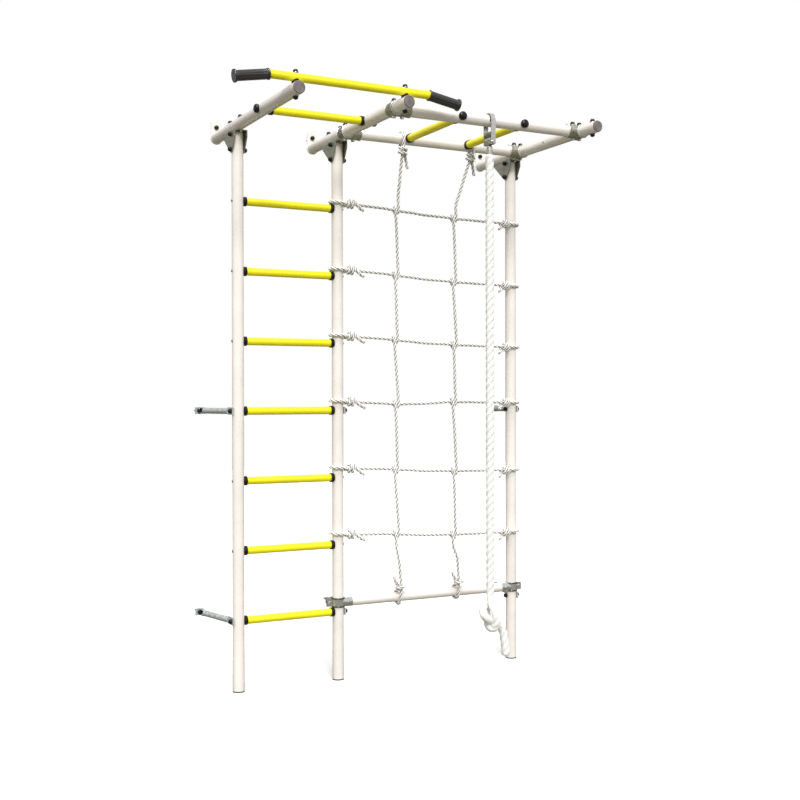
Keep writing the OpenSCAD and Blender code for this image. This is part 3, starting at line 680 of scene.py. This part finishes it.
class MONKEYBARS_OT_studio(bpy.types.Operator):
    """Sets out the pale studio, its soft lights and the camera"""

    bl_idname = "monkey_bars.studio"
    bl_label = "Studio"

    def execute(self, context):
        scene = context.scene
        cam_data = bpy.data.cameras.new("studio_camera")
        cam_data.lens = CAMERA_LENS
        cam_data.sensor_width = 36.0
        cam_data.clip_end = 60.0
        cam = bpy.data.objects.new("studio_camera", cam_data)
        scene.collection.objects.link(cam)
        yaw, pitch, roll = (math.radians(a) for a in (CAMERA_YAW, CAMERA_PITCH, CAMERA_ROLL))
        ahead = Vector((math.sin(yaw) * math.cos(pitch), math.cos(yaw) * math.cos(pitch), math.sin(pitch)))
        right = ahead.cross(Vector((0, 0, 1))).normalized()
        up = right.cross(ahead)
        r = right * math.cos(roll) + up * math.sin(roll)
        u = up * math.cos(roll) - right * math.sin(roll)
        turn = Matrix((r, u, -ahead)).transposed().to_4x4()
        cam.matrix_world = Matrix.Translation(Vector(CAMERA_PLACE)) @ turn
        scene.camera = cam

        bpy.ops.object.select_all(action="DESELECT")
        bpy.ops.mesh.primitive_plane_add(size=24.0, location=(0, 0, -0.0005))
        floor = context.object
        floor.name = "studio_floor"
        mat, tree, bsdf = shader("pale_floor", Roughness=0.9)
        tone = ramp(tree, noise(tree, 0.7, 2.0), [(0.3, (0.90, 0.90, 0.90)), (0.7, (0.92, 0.92, 0.92))])
        tree.links.new(tone, bsdf.inputs["Base Color"])
        coat(floor, mat)
        floor.visible_diffuse = False
        floor.visible_glossy = False
        floor.visible_shadow = False

        world = bpy.data.worlds.new("studio_air")
        world.use_nodes = True
        tree = world.node_tree
        back = tree.nodes["Background"]
        coord = add(tree, "ShaderNodeTexCoord")
        split = add(tree, "ShaderNodeSeparateXYZ")
        tree.links.new(coord.outputs["Generated"], split.inputs["Vector"])
        height = add(tree, "ShaderNodeMapRange")
        height.inputs["From Min"].default_value = -1.0
        tree.links.new(split.outputs["Z"], height.inputs["Value"])
        ground, skirting = (0.28, 0.28, 0.215), (0.42, 0.42, 0.37)
        sky = ramp(tree, height.outputs["Result"], [
            (0.0, ground), (0.38, ground), (0.47, skirting),
            (0.53, (0.74, 0.74, 0.73)), (0.75, grey(0.95)), (1.0, grey(1.0)),
        ])
        toward = add(tree, "ShaderNodeVectorMath", operation="DOT_PRODUCT")
        toward.inputs[1].default_value = FRONT
        tree.links.new(coord.outputs["Generated"], toward.inputs[0])
        front = add(tree, "ShaderNodeMapRange")
        front.inputs["From Min"].default_value = -1.0
        tree.links.new(toward.outputs["Value"], front.inputs["Value"])
        shade = ramp(tree, front.outputs["Result"], [
            (0.0, grey(0.45)), (0.25, grey(0.64)), (0.6, grey(1.0)), (1.0, grey(1.0)),
        ])
        light = add(tree, "ShaderNodeMix", data_type="RGBA", blend_type="MULTIPLY")
        light.inputs["Factor"].default_value = 1.0
        tree.links.new(sky, light.inputs[6])
        tree.links.new(shade, light.inputs[7])
        rays = add(tree, "ShaderNodeLightPath")
        pick = add(tree, "ShaderNodeMix", data_type="RGBA")
        pick.inputs[7].default_value = grey(1.0)
        tree.links.new(rays.outputs["Is Camera Ray"], pick.inputs["Factor"])
        tree.links.new(light.outputs[2], pick.inputs[6])
        tree.links.new(pick.outputs[2], back.inputs["Color"])
        scene.world = world

        for name, aim, strength, spread in (
            ("key_sun", (0.30, 0.85, -0.62), 1.9, 16),
            ("top_sun", (0.15, 0.30, -1.0), 1.6, 30),
        ):
            data = bpy.data.lights.new(name, "SUN")
            data.energy = strength
            data.angle = math.radians(spread)
            lamp = bpy.data.objects.new(name, data)
            scene.collection.objects.link(lamp)
            lamp.rotation_euler = Vector(aim).to_track_quat("-Z", "Y").to_euler()
        scene.view_settings.view_transform = "Standard"
        return {"FINISHED"}


class MONKEYBARS_OT_coats(bpy.types.Operator):
    """Coats every part of the frame with its finish"""

    bl_idname = "monkey_bars.coats"
    bl_label = "Coats and Finishes"

    def execute(self, context):
        FINISH.update(finish_table(context.scene.monkey_bar_colours))
        for entry in frame["record"]["subparts"]:
            coat(NODES[entry["node"]], FINISH[entry["material_slot"]])
        for node in ("upper_wall_arms", "lower_wall_arms"):
            coat(NODES[node], FINISH["arm_zinc"])
        for node in ("mid_collar_clamp", "right_collar_clamp"):
            coat(NODES[node], FINISH["polished_zinc"])
        return {"FINISHED"}


class MONKEYBARS_OT_climbing_rope(bpy.types.Operator):
    """Lays the thick climbing rope with its overhand knot"""

    bl_idname = "monkey_bars.climbing_rope"
    bl_label = "Climbing Rope"

    def execute(self, context):
        s = context.scene.monkey_rope_sizes
        line, total = smooth_line(climbing_rope_points(), 0.004)
        rope = rope_object("climbing_rope_laid", [line], s.rope_d, s.rope_lay, s.rope_depth, 10)
        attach(rope, "rope")
        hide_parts("climbing_rope", "rope_knot")
        finish(rope, "rope_cord")
        return {"FINISHED"}


class MONKEYBARS_OT_net(bpy.types.Operator):
    """Ties the climbing net between the middle and the outer post"""

    bl_idname = "monkey_bars.net"
    bl_label = "Climbing Net"

    def execute(self, context):
        s = context.scene.monkey_rope_sizes
        rows = [smooth_line(row_points(k), 0.003)[0] for k in range(ROW_COUNT)]
        made = [("net_row_ropes", "net_rows", rows)]
        for name in COLUMNS:
            made.append((name + "_rope", name, [smooth_line(column_points(name), 0.003)[0]]))
        for name, node, lines in made:
            rope = rope_object(name, lines, s.net_d, s.net_lay, s.net_depth, 6)
            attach(rope, "frame")
            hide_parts(node)
            finish(rope, "net_cord")
        return {"FINISHED"}


FRONT_Y, REAR_Y, PULL_UP_Y = -0.465, -0.074, -0.545
CLAMP_R = 0.02415
RIM_R = CLAMP_R - 0.0004
CLAMP_HALF, CLAMP_ARM = 0.023, 0.058
CLAMP_BOLT = 0.030
LOW_CLAMP_ENDS = (0.273, 0.303)
PLATE_FACE = 0.234
SADDLE, BAR_R = 0.003, 0.014
BAR_Z = HEAD_Z + TUBE_R + SADDLE + BAR_R
BAR_BEND, BAR_DROOP = 0.280, 10
GRIP_GAP = 0.004
CAP_RIM = 0.0014


class MONKEYBARS_OT_clamp_rims(bpy.types.Operator):
    """Rolls rims on the ends of the T-shaped clamps, painted near white as a highlight, and rims on the lower
    rail's clamps, painted near black as shade
    """

    bl_idname = "monkey_bars.clamp_rims"
    bl_label = "Clamp Rims"

    def execute(self, context):
        rim = turned("clamp_rim", bead_outline(RIM_R, 0.0018), 40, ring=True)
        places = []
        for x, out in ((MID, 1), (RIGHT, -1)):
            for y in (FRONT_Y, REAR_Y):
                places += [facing((x, y + s * CLAMP_HALF, HEAD_Z), (0, 1, 0)) for s in (-1, 1)]
                places.append(facing((x + out * CLAMP_ARM, y, HEAD_Z), (1, 0, 0)))
        rims = repeated(rim, "tee_clamp_rims", places, "frame", "bright_steel")
        # painted highlight: the T-clamp rims get the near-white zinc
        coat(rims, FINISH["painted_highlight_rim_zinc"])
        edge = turned("collar_rim", bead_outline(RIM_R, 0.0026), 40, ring=True)
        places = [facing((x, 0, z), (0, 0, 1)) for x in (MID, RIGHT) for z in LOW_CLAMP_ENDS]
        edges = repeated(edge, "lower_clamp_rims", places, "frame", "bolt_steel")
        # painted shade: the lower clamps' rims get the near-black zinc
        coat(edges, FINISH["painted_shade_zinc"])
        return {"FINISHED"}


class MONKEYBARS_OT_washers(bpy.types.Operator):
    """Puts a bright dished washer under each cap on the clamps, cantilevers and brackets"""

    bl_idname = "monkey_bars.washers"
    bl_label = "Washers"

    def execute(self, context):
        dished = [
            (0.0087, -0.0021), (0.0104, -0.0021), (0.0108, -0.0006),
            (0.0103, 0.0008), (0.0087, 0.0012), (0.0087, -0.0021),
        ]
        source = turned("washer", dished, 28, ring=True)
        places = []
        for x, out in ((MID, 1), (RIGHT, -1)):
            for y in (FRONT_Y, REAR_Y):
                places += [facing((x + out * d, y, HEAD_Z + CLAMP_R), (0, 0, 1)) for d in (0, CLAMP_BOLT)]
        for x in POSTS.values():
            places += [facing((x, y, HEAD_Z + TUBE_R), (0, 0, 1)) for y in (0.076, -0.030)]
            places.append(facing((x, PULL_UP_Y, HEAD_Z - TUBE_R), (0, 0, -1)))
        places.append(facing((RIGHT, PULL_UP_Y, HEAD_Z + TUBE_R), (0, 0, 1)))
        places += [facing((x, PULL_UP_Y, BAR_Z + BAR_R), (0, 0, 1)) for x in (LEFT, MID)]
        repeated(source, "dished_washers", places, "frame", "bright_steel")
        return {"FINISHED"}


class MONKEYBARS_OT_welds(bpy.types.Operator):
    """Runs the weld beads between the cantilevers and their wall plates"""

    bl_idname = "monkey_bars.welds"
    bl_label = "Weld Beads"

    def execute(self, context):
        bead = turned("weld", bead_outline(TUBE_R, 0.0026, 10), 72, ring=True)
        bpy.ops.object.mode_set(mode="EDIT")
        bpy.ops.mesh.select_all(action="DESELECT")
        bpy.ops.object.mode_set(mode="OBJECT")
        for v in bead.data.vertices:
            step = round(math.degrees(math.atan2(v.co.y, v.co.x)) / 5)
            v.select = step % 2 == 0
        bpy.ops.object.mode_set(mode="EDIT")
        bpy.ops.transform.resize(value=(1.012, 1.012, 1.25), center_override=(0, 0, 0))
        bpy.ops.object.mode_set(mode="OBJECT")
        places = [facing((x, PLATE_FACE, HEAD_Z), (0, 1, 0)) for x in POSTS.values()]
        repeated(bead, "wall_plate_welds", places, "frame", "post_coat", 80)
        return {"FINISHED"}


class MONKEYBARS_OT_grips(bpy.types.Operator):
    """Moulds the fluted rubber grips of the pull-up bar, with a flange at each end"""

    bl_idname = "monkey_bars.grips"
    bl_label = "Hand Grips"

    def execute(self, context):
        sleeve = [
            (0.0148, 0.0000), (0.0176, 0.0002), (0.0183, 0.0012), (0.0183, 0.0055), (0.0177, 0.0068),
            (0.0164, 0.0080), (0.0164, 0.0100), (0.0168, 0.0112), (0.0168, 0.1050), (0.0164, 0.1065),
            (0.0167, 0.1100), (0.0186, 0.1116), (0.0205, 0.1120), (0.0210, 0.1130), (0.0210, 0.1168),
            (0.0204, 0.1179), (0.0120, 0.1180), (0.0020, 0.1180),
        ]
        centre = (LEFT + MID) / 2
        droop = math.radians(BAR_DROOP)
        for side, node in ((-1, "left_grip"), (1, "right_grip")):
            grip = turned(node, sleeve, 72)
            for v in grip.data.vertices:
                around = round(math.degrees(math.atan2(v.co.y, v.co.x)) / 5)
                v.select = 0.011 < v.co.z < 0.106 and around % 6 < 2
            for e in grip.data.edges:
                e.select = all(grip.data.vertices[i].select for i in e.vertices)
            for f in grip.data.polygons:
                f.select = False
            bpy.ops.object.mode_set(mode="EDIT")
            bpy.ops.transform.resize(value=(0.93, 0.93, 1), center_override=(0, 0, 0.06))
            bpy.ops.object.mode_set(mode="OBJECT")
            along = Vector((side * math.cos(droop), 0, -math.sin(droop)))
            bend = Vector((centre + side * BAR_BEND, PULL_UP_Y, BAR_Z))
            place = facing(bend + along * GRIP_GAP, along)
            piece = repeated(grip, node + "_fluted", [place], "frame", "grip_rubber", 30)
            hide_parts(node)
        return {"FINISHED"}


class MONKEYBARS_OT_end_cap_rims(bpy.types.Operator):
    """Adds the raised rim of each grey end cap on the cantilevers"""

    bl_idname = "monkey_bars.end_cap_rims"
    bl_label = "End Cap Rims"

    def execute(self, context):
        outline = [
            (0.0165, 0.0), (0.0193, 0.0), (0.0190, 0.0009), (0.0181, 0.0013), (0.0171, 0.0010), (0.0165, 0.0),
        ]
        rim = turned("end_cap_rim", outline, 48, ring=True)
        rim_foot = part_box("cantilever_end_caps")[0][1] + CAP_RIM
        places = [facing((x, rim_foot, HEAD_Z), (0, -1, 0)) for x in POSTS.values()]
        repeated(rim, "end_cap_rims", places, "frame", "grey_plastic")
        return {"FINISHED"}


class MONKEYBARS_PT_panel(bpy.types.Panel):
    """Lists the pieces of the monkey bars"""

    bl_idname = "MONKEYBARS_PT_panel"
    bl_label = "Monkey Bars"
    bl_space_type = "VIEW_3D"
    bl_region_type = "UI"
    bl_category = "Monkey Bars"

    def draw(self, context):
        layout = self.layout
        for cls in OPERATORS:
            layout.operator(cls.bl_idname)
        for group in (context.scene.monkey_bar_colours, context.scene.monkey_rope_sizes):
            column = layout.column(align=True)
            for key in group.__annotations__:
                column.prop(group, key)


OPERATORS = (
    MONKEYBARS_OT_studio,
    MONKEYBARS_OT_coats,
    MONKEYBARS_OT_climbing_rope,
    MONKEYBARS_OT_net,
    MONKEYBARS_OT_clamp_rims,
    MONKEYBARS_OT_washers,
    MONKEYBARS_OT_welds,
    MONKEYBARS_OT_grips,
    MONKEYBARS_OT_end_cap_rims,
)
CLASSES = (BarColours, RopeSizes, *OPERATORS, MONKEYBARS_PT_panel)


def register():
    for cls in CLASSES:
        bpy.utils.register_class(cls)
    bpy.types.Scene.monkey_bar_colours = bpy.props.PointerProperty(type=BarColours)
    bpy.types.Scene.monkey_rope_sizes = bpy.props.PointerProperty(type=RopeSizes)


def unregister():
    del bpy.types.Scene.monkey_rope_sizes
    del bpy.types.Scene.monkey_bar_colours
    for cls in reversed(CLASSES):
        bpy.utils.unregister_class(cls)


def main():
    register()
    for cls in OPERATORS:
        group, name = cls.bl_idname.split(".")
        getattr(getattr(bpy.ops, group), name)()


if __name__ == "__main__":
    main()
